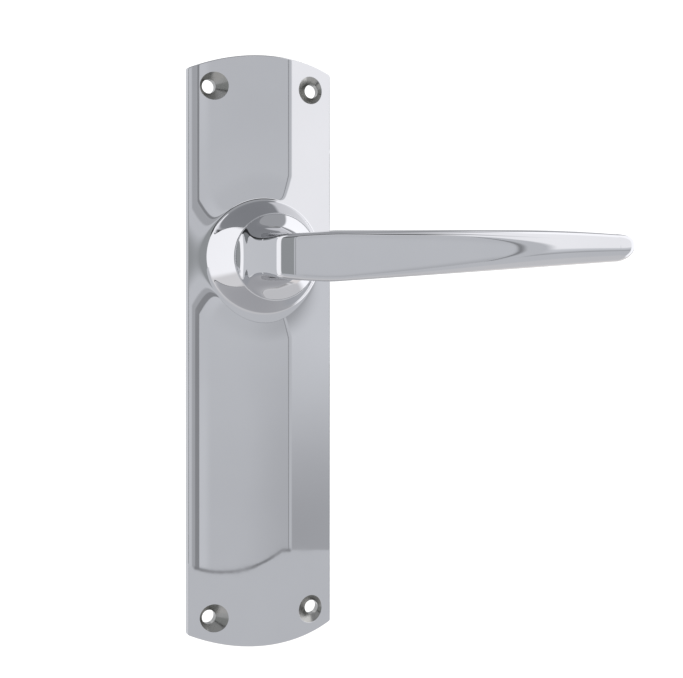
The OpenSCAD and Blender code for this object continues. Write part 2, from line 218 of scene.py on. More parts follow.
# Where the boss's cone comes down to the height of the crown's middle
FOOT_R = 18.7 * MM
FOOT_BLEND = 0.9 * MM
RAISED_R = 28.5 * MM
RAISED_RISE = 0.6 * MM
RAISED_RUN = 10 * MM
EDGE_ROUND = 0.35 * MM
BACK_ROUND = 0.25 * MM
RIM_ROUND = 0.45 * MM
SINK_ROUND = 0.15 * MM
CHAMBER_R = 13.6 * MM
WEB_T = 4.2 * MM
RECESS_R = 20.5 * MM
RECESS_T = 1.3 * MM
COLLAR_R = 22.5 * MM
POST_R = 5.6 * MM
BUSH_R = 8.9 * MM
FLANGE_R = 12.0 * MM
FLANGE_T = 0.9 * MM
SINK_D = 8.9 * MM
RING_COUNT = 192
HOLE_COUNT = 72
COLLAR_COUNT = 120
POST_COUNT = 48
# The front face's fill: fine rings at the foot of the boss, coarse rings round it, then a lattice
FOOT_ZONE = (17.8 * MM, 23.5 * MM)
FINE_STEP = 0.2 * MM
COARSE_STEP = 0.55 * MM
RINGS_END = 32 * MM
LATTICE_STEP = 1.5 * MM
LATTICE_INSET = 0.4 * MM
HOLE_CLEAR = 7.2 * MM
HOLE_GAPS = (0.35 * MM, 0.8 * MM, 1.4 * MM, 2.2 * MM)
EDGE_CLEAR = 0.6 * MM
RIM_CLEAR = 0.05 * MM
# The lattice over the hollow back, and the radius of the hollow's corners
BACK_STEP = 2.5 * MM
BACK_CORNER_R = 1.5 * MM


def crown(x):
    return CROWN_T - CROWN_R + np.sqrt(CROWN_R**2 - x**2)


def front_height(flat):
    """Height of the front face: the crown, raised a little round the boss, and the boss itself."""
    x, y = flat[..., 0], flat[..., 1]
    r = np.hypot(x, y)
    raised = RAISED_RISE * (np.maximum(0, RAISED_R - r) / RAISED_RUN) ** 2
    plate = crown(np.clip(x, -HALF_W, HALF_W)) + raised
    spare = FOOT_BLEND**2 / (4 * (BOSS_H - CROWN_T))
    boss = BOSS_H - (r - RIM_R) * (BOSS_H - CROWN_T) / (FOOT_R - RIM_R) - spare
    return 0.5 * (plate + boss + np.sqrt((plate - boss) ** 2 + FOOT_BLEND**2))


def front_normal(flat):
    step = 1e-6
    slopes = []
    for axis in range(2):
        move = np.zeros(2)
        move[axis] = step
        slopes.append((front_height(flat + move) - front_height(flat - move)) / (2 * step))
    return unit(np.stack([-slopes[0], -slopes[1], np.ones(len(flat))], axis=-1))


def outline(inset, corner, step):
    """Points and outward normals round the plate: straight sides, arched ends, small corners."""
    half, arch = HALF_W - inset, ARCH_R - inset
    high_centre, low_centre = PLATE_TOP - ARCH_R, PLATE_BOTTOM + ARCH_R
    corner_x = half - corner
    corner_rise = math.sqrt((arch - corner) ** 2 - corner_x**2)
    lean = math.atan2(corner_rise, corner_x)
    high_y, low_y = high_centre + corner_rise, low_centre - corner_rise

    def arc(centre, radius, start, stop, count):
        turn = np.linspace(start, stop, count)
        way = np.stack([np.cos(turn), np.sin(turn)], axis=-1)
        return np.asarray(centre) + radius * way, way

    def side(x, start, stop):
        count = max(2, int(abs(stop - start) / step))
        ys = np.linspace(start, stop, count)
        way = np.tile([math.copysign(1, x), 0.0], (count, 1))
        return np.stack([np.full(count, x), ys], axis=-1), way

    ends = max(8, int(2 * half / step))
    parts = [
        side(half, low_y, high_y),
        arc((corner_x, high_y), corner, 0, lean, 7),
        arc((0, high_centre), arch, lean, math.pi - lean, ends),
        arc((-corner_x, high_y), corner, math.pi - lean, math.pi, 7),
        side(-half, high_y, low_y),
        arc((-corner_x, low_y), corner, math.pi, math.pi + lean, 7),
        arc((0, low_centre), arch, math.pi + lean, 2 * math.pi - lean, ends),
        arc((corner_x, low_y), corner, -lean, 0, 7),
    ]
    points = np.vstack([p[0][:-1] for p in parts])
    ways = np.vstack([p[1][:-1] for p in parts])
    return points, ways


def lift(flat, height):
    height = np.broadcast_to(height, len(flat))
    return np.concatenate([flat, height[:, None]], axis=-1)


def upright(ways):
    return np.concatenate([ways, np.zeros((len(ways), 1))], axis=-1)


def inside_outline(flat, inset):
    x, y = flat[:, 0], flat[:, 1]
    high = np.hypot(x, y - (PLATE_TOP - ARCH_R)) < ARCH_R - inset
    low = np.hypot(x, y - (PLATE_BOTTOM + ARCH_R)) < ARCH_R - inset
    middle = (y < PLATE_TOP - ARCH_R) | high
    return (np.abs(x) < HALF_W - inset) & middle & ((y > PLATE_BOTTOM + ARCH_R) | low)


def hole_centres():
    holes = mount("fixing_screws")
    middle = holes["pos_m"]
    dx = holes["dims"]["spacing_x_mm"] * MM / 2
    dy = holes["dims"]["spacing_y_mm"] * MM / 2
    return [np.array([middle[0] + i * dx, middle[2] + j * dy]) for i in (-1, 1) for j in (-1, 1)]


def front_fill():
    """Points that fill the front face: rings round the boss and holes, and a lattice elsewhere."""
    rings = []
    r = RIM_R + FINE_STEP
    while r < RINGS_END:
        rings.append(ring_loop((0, 0), r, RING_COUNT)[0])
        r += FINE_STEP if FOOT_ZONE[0] < r < FOOT_ZONE[1] else COARSE_STEP
    xs = np.arange(-HALF_W + LATTICE_INSET, HALF_W, LATTICE_STEP)
    ys = np.arange(PLATE_BOTTOM + EDGE_CLEAR, PLATE_TOP, LATTICE_STEP)
    shift = LATTICE_STEP / 2
    lattice = np.array([(x + (shift if k % 2 else 0), y) for k, y in enumerate(ys) for x in xs])
    lattice = lattice[np.hypot(lattice[:, 0], lattice[:, 1]) > r]
    around = []
    for centre in hole_centres():
        lattice = lattice[np.hypot(*(lattice - centre).T) > HOLE_CLEAR]
        for gap in HOLE_GAPS:
            around.append(ring_loop(centre, SINK_D / 2 + gap, HOLE_COUNT)[0])
    fill = np.vstack([*rings, lattice, *around])
    return fill[inside_outline(fill, EDGE_CLEAR)]


def hole_rim(centre):
    """Where the countersink meets the crowned face, for each angle round the hole."""
    hole_r = mount("fixing_screws")["dims"]["hole_r_mm"] * MM
    _, way = ring_loop(centre, 1, HOLE_COUNT)
    sink_low = float(front_height(centre)) - (SINK_D / 2 - hole_r)
    radius = np.full(HOLE_COUNT, SINK_D / 2)
    for _ in range(20):
        radius = hole_r + front_height(centre + radius[:, None] * way) - sink_low
    flat = centre + radius[:, None] * way
    return flat, way, hole_r, sink_low


def outside_loop(points, loop, centre):
    """Whether points lie outside a hole's rim, whose radius changes with the angle round the hole."""
    ray, rim = points - centre, loop - centre
    radius = np.interp(
        np.arctan2(ray[:, 1], ray[:, 0]), np.arctan2(rim[:, 1], rim[:, 0]), np.hypot(*rim.T),
        period=2 * math.pi,
    )
    return np.hypot(*ray.T) > 0.999 * radius


def add_hole(skin, centre):
    flat, way, hole_r, sink_low = hole_rim(centre)
    face = front_normal(flat)
    cone = np.concatenate([-way, np.ones((HOLE_COUNT, 1))], axis=-1)
    arc, arc_normals = rolled_edge(lift(flat, front_height(flat)), face, cone, SINK_ROUND, 4)
    skin.grid(arc, arc_normals)
    throat = lift(centre + hole_r * way, sink_low)
    # slot 2 is the satin chrome, whose darker colour paints shade into the countersink and bore
    skin.grid(np.stack([arc[-1], throat]), np.stack([cone, cone]), slot=2)
    inward = upright(-way)
    foot = lift(centre + hole_r * way, 0.0)
    back = np.tile([0.0, 0.0, -1.0], (HOLE_COUNT, 1))
    low_arc, low_normals = rolled_edge(foot, inward, back, BACK_ROUND, 3)
    skin.grid(np.stack([throat, low_arc[0]]), np.stack([inward, inward]), slot=2)
    skin.grid(low_arc, low_normals, slot=1)
    return arc[0], low_arc[-1][:, :2]


def pocket(flat):
    """Whether points lie in the hollow back of the casting."""
    inside = inside_outline(flat, RIB_W) & (np.hypot(flat[:, 0], flat[:, 1]) > COLLAR_R)
    for centre in hole_centres():
        inside &= np.hypot(*(flat - centre).T) > POST_R
    return inside


def pocket_height(flat):
    inner = CROWN_R - WALL_T
    return CROWN_T - CROWN_R + np.sqrt(inner**2 - flat[:, 0] ** 2)


def add_back(skin, edge_loop, hole_loops, recess_loop):
    """The flat rim, collar and posts, the hollows between them, and the upright walls that join them."""
    inner_loop = outline(RIB_W, BACK_CORNER_R, 3 * MM)[0]
    collar = ring_loop((0, 0), COLLAR_R, COLLAR_COUNT)[0]
    posts = [ring_loop(c, POST_R, POST_COUNT)[0] for c in hole_centres()]
    xs = np.arange(-HALF_W + RIB_W + 1 * MM, HALF_W - RIB_W, BACK_STEP)
    ys = np.arange(PLATE_BOTTOM + RIB_W + 1 * MM, PLATE_TOP - RIB_W, BACK_STEP)
    fill = np.array([(x, y) for y in ys for x in xs])
    fill = fill[pocket(fill)]
    loops = [edge_loop, *hole_loops, recess_loop, inner_loop, collar, *posts]
    flat, triangles = triangulate(loops, fill)
    middles = flat[triangles].mean(axis=1)
    hollow = pocket(middles)
    solid = inside_outline(middles, BACK_ROUND * 0.9) & (np.hypot(*middles.T) > RECESS_R)
    for centre in hole_centres():
        hole_r = mount("fixing_screws")["dims"]["hole_r_mm"] * MM + BACK_ROUND
        solid &= np.hypot(*(middles - centre).T) > hole_r * 0.999
    ground = triangles[solid & ~hollow]
    roof = triangles[hollow]
    count = len(flat)
    down = np.tile([0.0, 0.0, -1.0], (count, 1))
    skin.patch(lift(flat, 0.0), down, [t[::-1] for t in ground], slot=1)
    heights = pocket_height(np.clip(flat, -HALF_W, HALF_W))
    tilt = flat[:, 0] / (CROWN_R - WALL_T)
    roof_normals = np.stack([-tilt, np.zeros(count), -np.sqrt(1 - np.clip(tilt, -1, 1) ** 2)], axis=-1)
    skin.patch(lift(flat, heights), roof_normals, [t[::-1] for t in roof], slot=1)
    edges = [(int(a), int(b)) for t in roof for a, b in zip(t, np.roll(t, -1))]
    known = set(edges)
    for a, b in edges:
        if (b, a) in known:
            continue
        along = flat[b] - flat[a]
        inward = np.array([-along[1], along[0], 0.0])
        corners = [[*flat[a], 0], [*flat[b], 0], [*flat[b], heights[b]], [*flat[a], heights[a]]]
        skin.patch(corners, np.tile(inward, (4, 1)), [(0, 3, 2, 1)], slot=1)


def backplate_mesh(materials):
    skin = Skin()
    angles = np.linspace(0, 2 * math.pi, RING_COUNT, endpoint=False)
    edge, ways = outline(0, CORNER_R, 1.2 * MM)
    arc, arc_normals = rolled_edge(
        lift(edge, front_height(edge)), front_normal(edge), upright(ways), EDGE_ROUND, 5
    )
    skin.grid(arc, arc_normals)
    foot = lift(edge, 0.0)
    back = np.tile([0.0, 0.0, -1.0], (len(edge), 1))
    low_arc, low_normals = rolled_edge(foot, upright(ways), back, BACK_ROUND, 4)
    skin.grid(np.stack([arc[-1], low_arc[0]]), np.stack([upright(ways)] * 2))
    skin.grid(low_arc, low_normals)

    rim, rim_ways = ring_loop((0, 0), RIM_R, RING_COUNT)
    top = lift(rim, front_height(rim))
    flat_up = np.tile([0.0, 0.0, 1.0], (RING_COUNT, 1))
    rim_arc, rim_normals = rolled_edge(top, front_normal(rim), flat_up, RIM_ROUND, 6)
    skin.grid(rim_arc, rim_normals)
    rim_top = lift(FLANGE_R * rim_ways, rim_arc[-1][:, 2])
    skin.grid(np.stack([rim_arc[-1], rim_top]), np.stack([flat_up, flat_up]))
    web = BOSS_H - WEB_T
    seat = BOSS_H - FLANGE_T
    walls = [
        [(FLANGE_R, float(rim_arc[-1][:, 2].mean())), (FLANGE_R, seat)],
        [(FLANGE_R, seat), (BUSH_R, seat)],
        [(BUSH_R, seat), (BUSH_R, web)],
        [(BUSH_R, web), (CHAMBER_R, web)],
        [(CHAMBER_R, web), (CHAMBER_R, RECESS_T)],
        [(CHAMBER_R, RECESS_T), (RECESS_R, RECESS_T)],
        [(RECESS_R, RECESS_T), (RECESS_R, 0.0)],
    ]
    for wall in walls:
        lathe(skin, wall[::-1], angles, slot=1)

    holes = [add_hole(skin, centre) for centre in hole_centres()]
    loops = [arc[0][:, :2], rim_arc[0][:, :2]] + [hole[0][:, :2] for hole in holes]
    borders = np.vstack([arc[0], rim_arc[0], *[hole[0] for hole in holes]])
    heights = {tuple(np.round(p[:2], 7)): p[2] for p in borders}
    fill = front_fill()
    rim_r = np.hypot(*rim_arc[0][0, :2])
    fill = fill[np.hypot(*fill.T) > rim_r + RIM_CLEAR]
    flat, triangles = triangulate(loops, fill)
    middles = flat[triangles].mean(axis=1)
    kept = np.hypot(*middles.T) > rim_r * 0.9999
    for (loop, _), centre in zip(holes, hole_centres()):
        kept &= outside_loop(middles, loop[:, :2], centre)
    kept &= inside_outline(middles, 0.02 * MM)
    up = front_height(flat)
    for i, p in enumerate(np.round(flat, 7)):
        up[i] = heights.get(tuple(p), up[i])
    skin.patch(lift(flat, up), front_normal(flat), triangles[kept])
    recess = ring_loop((0, 0), RECESS_R, RING_COUNT)[0]
    add_back(skin, low_arc[-1][:, :2], [hole[1] for hole in holes], recess)
    return skin.build("door_backplate", materials)


# ---------------------------------------------------------------- lever shape

LEVER_LOW, LEVER_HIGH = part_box("lever")
ARM_FRONT = -LEVER_LOW.y
REACH = LEVER_HIGH.x
HUB_R = -LEVER_LOW.x
TAIL_Z = -LEVER_HIGH.y
SPINDLE_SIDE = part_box("spindle")[1].x
HUB_Z = BOSS_H + 0.15 * MM
HUB_LIP = 0.3 * MM
HUB_LEDGE = 0.05 * MM
HUB_ROUND = 0.04 * MM
FLARE_START = HUB_Z + HUB_LIP / 2
FLARE_END = 36 * MM
FLARE_POWER = 3.0
LIP_POWER = 14
NECK_R = 6.5 * MM
NECK_OUT = 10.6 * MM
NECK_LEAN = math.radians(6.5)
ELBOW_R = 7 * MM
INNER_R = 4 * MM
ROOT_T = 12 * MM
TIP_T = 7.6 * MM
ARM_TOP = 8.1 * MM
ROOT_H = 15.8 * MM
TIP_H = 9.4 * MM
TOP_RISE = 0.95 * MM
TIP_DROOP = 1.2 * MM
DROOP_FROM = 0.62
TIP_LEN = 8 * MM
APEX_LIFT = 0.8 * MM
ARM_SWEEP = 3.4 * MM
# Powers of the sections' curves, where 2 is an ellipse and more is squarer. SQUARE_POWER is how fast
# the outer side's power falls along the arm.
NECK_SQUARE, ROOT_SQUARE, TIP_SQUARE = 6.0, 14.0, 2.3
SQUARE_POWER = 2.8
ROOT_BACK, TIP_BACK = 2.5, 2.1
# How much the front corners at the arm's root are trimmed, above and below
TOP_FALL, LOW_FALL = 0.15, 0.08
JOURNAL_R = 7.5 * MM
FLAT_X = 6.9 * MM
SHOULDER_Z = 6.7 * MM
SOCKET_TOP = 25.5 * MM
SOCKET_CLEAR = 0.05 * MM
# Points round a section, how much they crowd towards its corners, the rows of each stretch, and how
# far round the tip the last row lies
SECTION_COUNT = 144
CORNER_CROWD = 0.12
FLARE_ROWS, ELBOW_ROWS, ARM_ROWS, TIP_ROWS = 48, 72, 120, 36
TIP_SHARE = 0.985
PIVOT_X = NECK_R + INNER_R
PIVOT_Z = ARM_FRONT - ROOT_T - INNER_R
TIP_X = REACH - TIP_LEN
ARM_RUN = TIP_X - PIVOT_X


def smooth(share):
    share = np.clip(share, 0, 1)
    return share * share * (3 - 2 * share)


def neck_wall(z):
    return NECK_OUT + (PIVOT_Z - z) * math.tan(NECK_LEAN)


def corner_reach(angle):
    """Distance from the elbow's pivot to its outer side: a leaning wall, a round, and the front face."""
    lean, rise = math.cos(NECK_LEAN), math.sin(NECK_LEAN)
    wall = (NECK_OUT + PIVOT_X) * lean
    face = ARM_FRONT - PIVOT_Z
    cz = face - ELBOW_R
    cx = (wall - ELBOW_R - cz * rise) / lean
    c, s = np.cos(angle), np.sin(angle)
    along = c * cx + s * cz
    inside = np.maximum(along**2 - cx**2 - cz**2 + ELBOW_R**2, 0)
    reach = along + np.sqrt(inside)
    wall_end = math.atan2(cz + ELBOW_R * rise, cx + ELBOW_R * lean)
    reach = np.where(angle <= wall_end, wall / np.cos(angle - NECK_LEAN), reach)
    return np.where(angle >= math.atan2(face, cx), face / np.maximum(s, 1e-9), reach)


def arm_line(share):
    return ARM_TOP + TOP_RISE * share - TIP_DROOP * (
        np.maximum(0, share - DROOP_FROM) / (1 - DROOP_FROM)
    ) ** 2


def arm_low(share):
    return blend(ARM_TOP - ROOT_H, arm_line(1.0) - TIP_H, share)


def flare_section(t):
    z = blend(HUB_Z + HUB_LIP, PIVOT_Z, t)
    share = (np.maximum(0, FLARE_END - z) / (FLARE_END - FLARE_START)) ** FLARE_POWER
    low_r = HUB_R - HUB_LEDGE
    half = blend(NECK_R, low_r, share)
    left = np.maximum(0, PIVOT_Z - z) / (PIVOT_Z - FLARE_START)
    lip = (low_r - neck_wall(FLARE_START)) * left**LIP_POWER
    zero = np.zeros_like(t)
    return {
        "outer": [-neck_wall(z) - lip, z], "inner": [half, z],
        "low": -half, "mid": zero, "top": half,
        "square": blend(NECK_SQUARE, 2.0, share), "back": zero + 2.0,
        "top_fall": zero, "low_fall": zero,
    }


def elbow_section(t):
    angle = t * math.pi / 2
    reach = corner_reach(angle)
    rise = smooth(t)
    ahead = -np.cos(angle) * ROOT_T / ARM_RUN
    low = blend(-NECK_R, arm_low(ahead), rise)
    top = blend(NECK_R, arm_line(ahead), rise)
    return {
        "outer": [PIVOT_X - reach * np.cos(angle), PIVOT_Z + reach * np.sin(angle)],
        "inner": [PIVOT_X - INNER_R * np.cos(angle), PIVOT_Z + INNER_R * np.sin(angle)],
        "low": low, "mid": (low + top) / 2, "top": top,
        "square": blend(NECK_SQUARE, ROOT_SQUARE, smooth(t * 1.2)),
        "back": blend(2.0, ROOT_BACK, rise),
        "top_fall": TOP_FALL * rise, "low_fall": LOW_FALL * rise,
    }


def arm_section(share, end):
    half_t = blend(ROOT_T, TIP_T, share) / 2
    x = blend(PIVOT_X, TIP_X, share) + TIP_LEN * np.sin(end)
    z = ARM_FRONT - ARM_SWEEP * share**2 - half_t
    top, low = arm_line(share), arm_low(share)
    apex = (top + low) / 2 + APEX_LIFT * np.sin(end) ** 2
    half = (top - low) / 2
    return {
        "outer": [x, z + np.cos(end) * half_t], "inner": [x, z - np.cos(end) * half_t],
        "low": apex - half * np.cos(end), "mid": apex, "top": apex + half * np.cos(end) ** 0.75,
        "square": blend(TIP_SQUARE, ROOT_SQUARE, (1 - share) ** SQUARE_POWER),
        "back": blend(ROOT_BACK, TIP_BACK, share),
        "top_fall": TOP_FALL * (1 - smooth((share - 0.1) / 0.35)), "low_fall": LOW_FALL * (1 - share),
    }


def lever_point(t, turn):
    """Points [t, turn] of the lever's skin. t runs to 1 up the flared hub, to 2 round the elbow,
    to 3 along the arm and to 4 round the tip, and turn runs round the section from its outer side."""
    t = np.asarray(t, float)
    parts = [
        flare_section(np.clip(t, 0, 1)),
        elbow_section(np.clip(t - 1, 0, 1)),
        arm_section(np.clip(t - 2, 0, 1), np.zeros_like(t)),
        arm_section(np.ones_like(t), np.clip(t - 3, 0, 1) * math.pi / 2),
    ]
    picked = [t <= 1, t <= 2, t <= 3, t <= 5]

    def value(key):
        return np.select(picked, [part[key] for part in parts])[:, None]

    def place(key):
        return [np.select(picked, [part[key][k] for part in parts])[:, None] for k in (0, 1)]

    c, s = np.cos(turn)[None, :], np.sin(turn)[None, :]
    power = np.where(c >= 0, value("square"), value("back"))
    fall = np.where(s > 0, value("top_fall"), value("low_fall")) * (c >= 0)
    reach = (np.abs(c) ** power + (np.abs(s) * (1 + fall * c**2)) ** power) ** (-1 / power)
    across = (1 + reach * c) / 2
    up = reach * s
    y = value("mid") + up * np.where(
        up > 0, value("top") - value("mid"), value("mid") - value("low")
    )
    outer, inner = place("outer"), place("inner")
    return np.stack([blend(inner[0], outer[0], across), y, blend(inner[1], outer[1], across)], axis=-1)


def lever_normals(t, turn):
    step = 3e-4
    along = lever_point(np.clip(t + step, 0, 3.999), turn) - lever_point(np.clip(t - step, 0, 4), turn)
    across = lever_point(t, turn + step) - lever_point(t, turn - step)
    return unit(np.cross(across, along))


def section_turns():
    """Angles round a section that crowd towards its corners and include the journal's flats."""
    even = np.linspace(0, 2 * math.pi, SECTION_COUNT, endpoint=False)
    crowded = even + CORNER_CROWD * np.sin(4 * even)
    corner = math.acos(FLAT_X / JOURNAL_R)
    corners = np.array([corner, math.pi - corner, math.pi + corner, 2 * math.pi - corner])
    near = np.abs(crowded[:, None] - corners[None, :]).min(axis=1) < 0.012
    return np.sort(np.concatenate([crowded[~near], corners]))


def add_journal(skin, way):
    """The lever's tail: a round journal with two flats, and a square socket for the spindle."""
    shape = np.minimum(JOURNAL_R, FLAT_X / np.maximum(np.abs(way[:, 0]), 1e-9))
    hole = (SPINDLE_SIDE + SOCKET_CLEAR) / np.max(np.abs(way), axis=1)
    tail = shape[:, None] * way
    full = JOURNAL_R * way
    mouth = hole[:, None] * way
    count = len(way)
    down = np.tile([0.0, 0.0, -1.0], (count, 1))
    skin.grid(np.stack([lift(mouth, TAIL_Z), lift(tail, TAIL_Z)]), np.stack([down, down]), slot=1)
    skin.grid(np.stack([lift(tail, SHOULDER_Z), lift(full, SHOULDER_Z)]), np.stack([down, down]), slot=1)
    skin.grid(np.stack([lift(full, SHOULDER_Z), lift(full, HUB_Z)]), np.stack([upright(way)] * 2), slot=1)
    skin.patch(lift(mouth, SOCKET_TOP), down, [tuple(range(count))], slot=1)
    for ring, low, high, sense in ((tail, TAIL_Z, SHOULDER_Z, 1), (mouth, TAIL_Z, SOCKET_TOP, -1)):
        for a, b in zip(ring, np.roll(ring, -1, axis=0)):
            out = sense * np.cross([b[0] - a[0], b[1] - a[1], 0.0], [0.0, 0.0, 1.0])
            points = [[*a, low], [*b, low], [*b, high], [*a, high]]
            skin.patch(points, np.tile(out, (4, 1)), [(0, 1, 2, 3)[::sense]], slot=1)


def add_hub_lip(skin, way, start):
    out, down = upright(way), np.tile([0.0, 0.0, -1.0], (len(way), 1))
    low_edge = lift(HUB_R * way, HUB_Z)
    high_edge = lift(HUB_R * way, HUB_Z + HUB_LIP)
    low_arc, low_normals = rolled_edge(low_edge, down, out, HUB_ROUND, 4)
    high_arc, high_normals = rolled_edge(high_edge, out, -down, HUB_ROUND, 4)
    skin.grid(np.stack([lift(JOURNAL_R * way, HUB_Z), low_arc[0]]), np.stack([down, down]))
    skin.grid(low_arc, low_normals)
    skin.grid(np.stack([low_arc[-1], high_arc[0]]), np.stack([out, out]))
    skin.grid(high_arc, high_normals)
    skin.grid(np.stack([high_arc[-1], start]), np.stack([-down, -down]))


def lever_mesh(materials):
    skin = Skin()
    turns = section_turns()
    # turn 0 is the outer side of the section, which is the -X side of the hub
    way = np.stack([-np.cos(turns), np.sin(turns)], axis=-1)[::-1]
    t = np.concatenate([
        np.linspace(0, 1, FLARE_ROWS, endpoint=False) ** 1.3,
        np.linspace(1, 2, ELBOW_ROWS, endpoint=False),
        np.linspace(2, 3, ARM_ROWS, endpoint=False),
        3 + np.linspace(0, TIP_SHARE, TIP_ROWS),
    ])
    points = lever_point(t, turns)[:, ::-1]
    normals = lever_normals(t, turns)[:, ::-1]
    skin.grid(points, normals)
    around = len(turns)
    tip = points[-1].mean(axis=0) + [0.02 * MM, 0, 0]
    cap_normals = np.vstack([normals[-1], [1.0, 0.0, 0.0]])
    fan = [(i, (i + 1) % around, around) for i in range(around)]
    a, b, c = (np.vstack([points[-1], tip])[k] for k in fan[0])
    if np.cross(b - a, c - a)[0] < 0:
        fan = [face[::-1] for face in fan]
    skin.patch(np.vstack([points[-1], tip]), cap_normals, fan)
    add_hub_lip(skin, way, points[0])
    add_journal(skin, way)
    return skin.build("door_lever", materials)


# ---------------------------------------------------------------- materials


class Nodes:
    """A material's node tree, with short ways to add and join nodes."""

    def __init__(self, name):
        self.material = bpy.data.materials.new(name)
        self.material.use_nodes = True
        self.tree = self.material.node_tree
        self.shader = self.tree.nodes["Principled BSDF"]

    def add(self, kind, **values):
        node = self.tree.nodes.new(kind)
        for key, value in values.items():
            if hasattr(node, key):
                setattr(node, key, value)
            else:
                node.inputs[key].default_value = value
        return node

    def link(self, start, end):
        self.tree.links.new(start, end)

    def noise(self, scale, detail=4.0, stretch=(1, 1, 1)):
        place = self.add("ShaderNodeTexCoord")
        mapping = self.add("ShaderNodeMapping")
        mapping.inputs["Scale"].default_value = stretch
        self.link(place.outputs["Object"], mapping.inputs["Vector"])
        noise = self.add("ShaderNodeTexNoise")
        noise.inputs["Scale"].default_value = scale
        noise.inputs["Detail"].default_value = detail
        self.link(mapping.outputs["Vector"], noise.inputs["Vector"])
        return noise.outputs["Fac"]

    def spread(self, value, low, high, start=0.3, stop=0.7):
        span = self.add("ShaderNodeMapRange")
        span.inputs["From Min"].default_value = start
        span.inputs["From Max"].default_value = stop
        span.inputs["To Min"].default_value = low
        span.inputs["To Max"].default_value = high
        self.link(value, span.inputs["Value"])
        return span.outputs["Result"]

    def tint(self, value, low, high):
        mix = self.add("ShaderNodeMix", data_type="RGBA")
        mix.inputs["A"].default_value = (*low, 1)
        mix.inputs["B"].default_value = (*high, 1)
        self.link(value, mix.inputs["Factor"])
        return mix.outputs["Result"]

    def bump(self, value, strength, distance):
        bump = self.add("ShaderNodeBump")
        bump.inputs["Strength"].default_value = strength
        bump.inputs["Distance"].default_value = distance
        self.link(value, bump.inputs["Height"])
        self.link(bump.outputs["Normal"], self.shader.inputs["Normal"])


def metal(name, low, high, rough, scale, grain, stretch=(1, 1, 1)):
    """A metal whose colour drifts from low to high over patches of the given scale. Its roughness
    and its tiny bumps follow the grain, which is (noise scale, bump strength, bump distance)."""
    nodes = Nodes(name)
    nodes.shader.inputs["Metallic"].default_value = 1.0
    patches = nodes.noise(scale)
    nodes.link(nodes.tint(nodes.spread(patches, 0, 1), low, high), nodes.shader.inputs["Base Color"])
    lines = nodes.noise(grain[0], 3.0, stretch)
    nodes.link(nodes.spread(lines, rough[0], rough[1]), nodes.shader.inputs["Roughness"])
    nodes.bump(lines, grain[1], grain[2])
    return nodes.material


def polished_chrome():
    return metal(
        "polished_chrome", (0.60, 0.605, 0.62), (0.625, 0.63, 0.645), (0.012, 0.03),
        30, (90, 0.012, 0.0002),
    )


def cast_chrome():
    return metal(
        "cast_chrome", (0.42, 0.42, 0.42), (0.56, 0.56, 0.57), (0.30, 0.45),
        60, (700, 0.35, 0.0002),
    )


# Less polished chrome for the countersinks and bores. The higher roughness is the real satin finish; the
# darker colour is painted shade that darkens the countersink rings.
def satin_chrome_and_painted_shade():
    return metal(
        "satin_chrome_and_painted_shade", (0.36, 0.36, 0.34), (0.44, 0.44, 0.43), (0.18, 0.28),
        80, (500, 0.1, 0.0001),
    )


def zinc_steel():
    return metal(
        "zinc_steel", (0.56, 0.57, 0.60), (0.66, 0.65, 0.60), (0.22, 0.36),
        120, (900, 0.15, 0.0001),
    )


def spring_steel():
    return metal(
        "spring_steel", (0.12, 0.12, 0.13), (0.22, 0.21, 0.21), (0.28, 0.4),
        200, (1200, 0.1, 0.0001),
    )


def drawn_steel():
    return metal(
        "drawn_zinc_bar", (0.55, 0.56, 0.58), (0.64, 0.64, 0.64), (0.2, 0.38),
        90, (1500, 0.2, 0.0001), (1, 0.03, 1),
    )


def nylon():
    nodes = Nodes("natural_nylon")
    patches = nodes.noise(250)
    colour = nodes.tint(nodes.spread(patches, 0, 1), (0.78, 0.76, 0.69), (0.84, 0.82, 0.76))
    nodes.link(colour, nodes.shader.inputs["Base Color"])
    nodes.link(nodes.spread(patches, 0.38, 0.5), nodes.shader.inputs["Roughness"])
    nodes.bump(nodes.noise(2500, 2.0), 0.1, 0.0001)
    return nodes.material


def set_material(node, material):
    mesh = frame["nodes"][node].data
    mesh.materials.clear()
    mesh.materials.append(material)


# ---------------------------------------------------------------- studio


